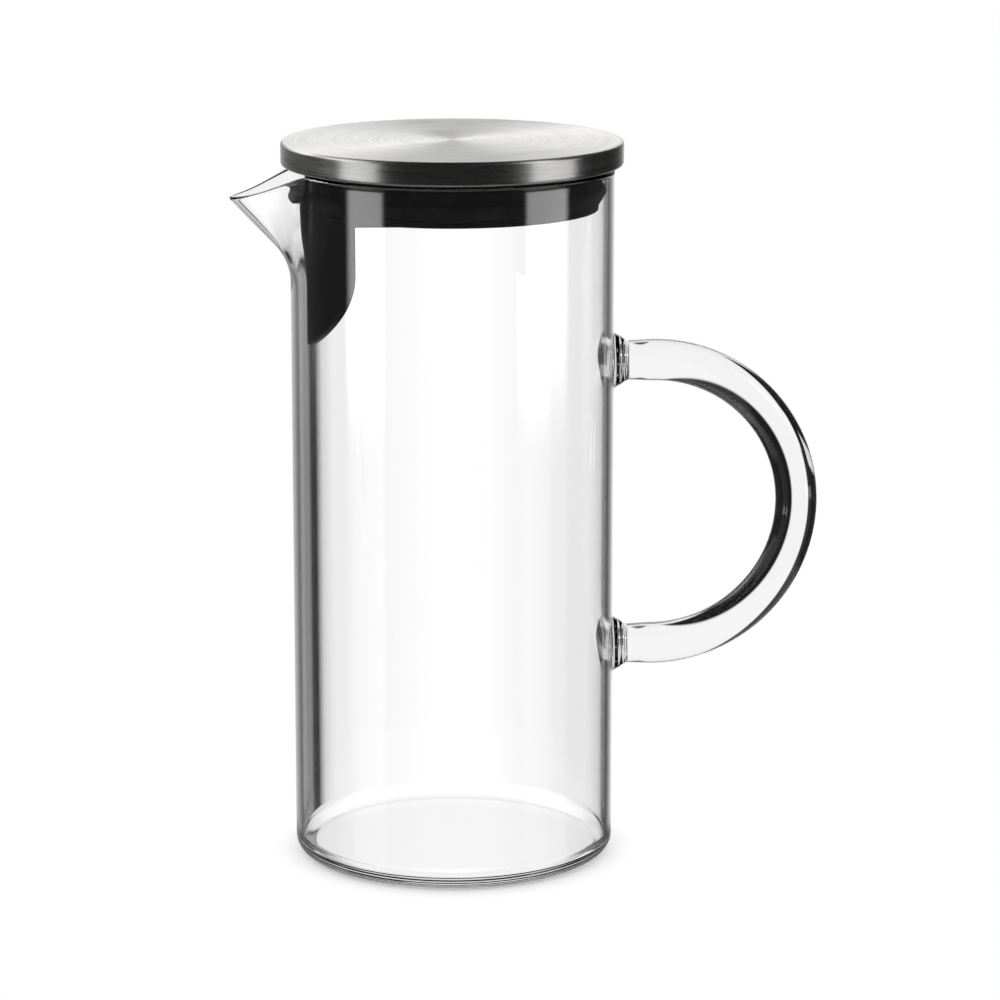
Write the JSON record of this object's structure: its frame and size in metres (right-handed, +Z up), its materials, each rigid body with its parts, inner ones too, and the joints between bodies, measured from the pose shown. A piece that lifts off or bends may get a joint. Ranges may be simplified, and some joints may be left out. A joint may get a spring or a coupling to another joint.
{
  "type": "glass pitcher with lid",
  "caption": "Tall straight-sided clear glass pitcher with a drawn pouring lip, a looped glass rod handle and a lift-off brushed steel lid with a sealing plug and ice guard.",
  "frame": {"origin": "centre of the flat underside of the base, on the axis of the body", "axes": "+Z up along the axis of the body, -X towards the pouring lip, +X towards the handle"},
  "size_m": [0.1828, 0.1054, 0.2254],
  "materials": {
    "body_glass": "clear, fire-polished",
    "handle_glass": "clear, fire-polished",
    "cap_steel": "brushed in circles",
    "plug_plastic": "satin black",
    "seal_silicone": "matt black silicone",
    "guard_plastic": "satin black"
  },
  "bodies": {
    "jug": {"glass_body": "body_glass", "glass_handle": "handle_glass"},
    "seal": {"seal_ring": "seal_silicone"},
    "lid": {"lid_cap": "cap_steel", "lid_plug": "plug_plastic", "spout_guard": "guard_plastic"}
  },
  "joints": [
    {"name": "lid_lift", "type": "slide", "parent": "jug", "child": "seal", "axis": [0, 0, 1], "range_m": [0, 0.08]},
    {"name": "lid_turn", "type": "hinge", "parent": "seal", "child": "lid", "pos_m": [0, 0, 0.21], "axis": [0, 0, 1], "continuous": true}
  ]
}
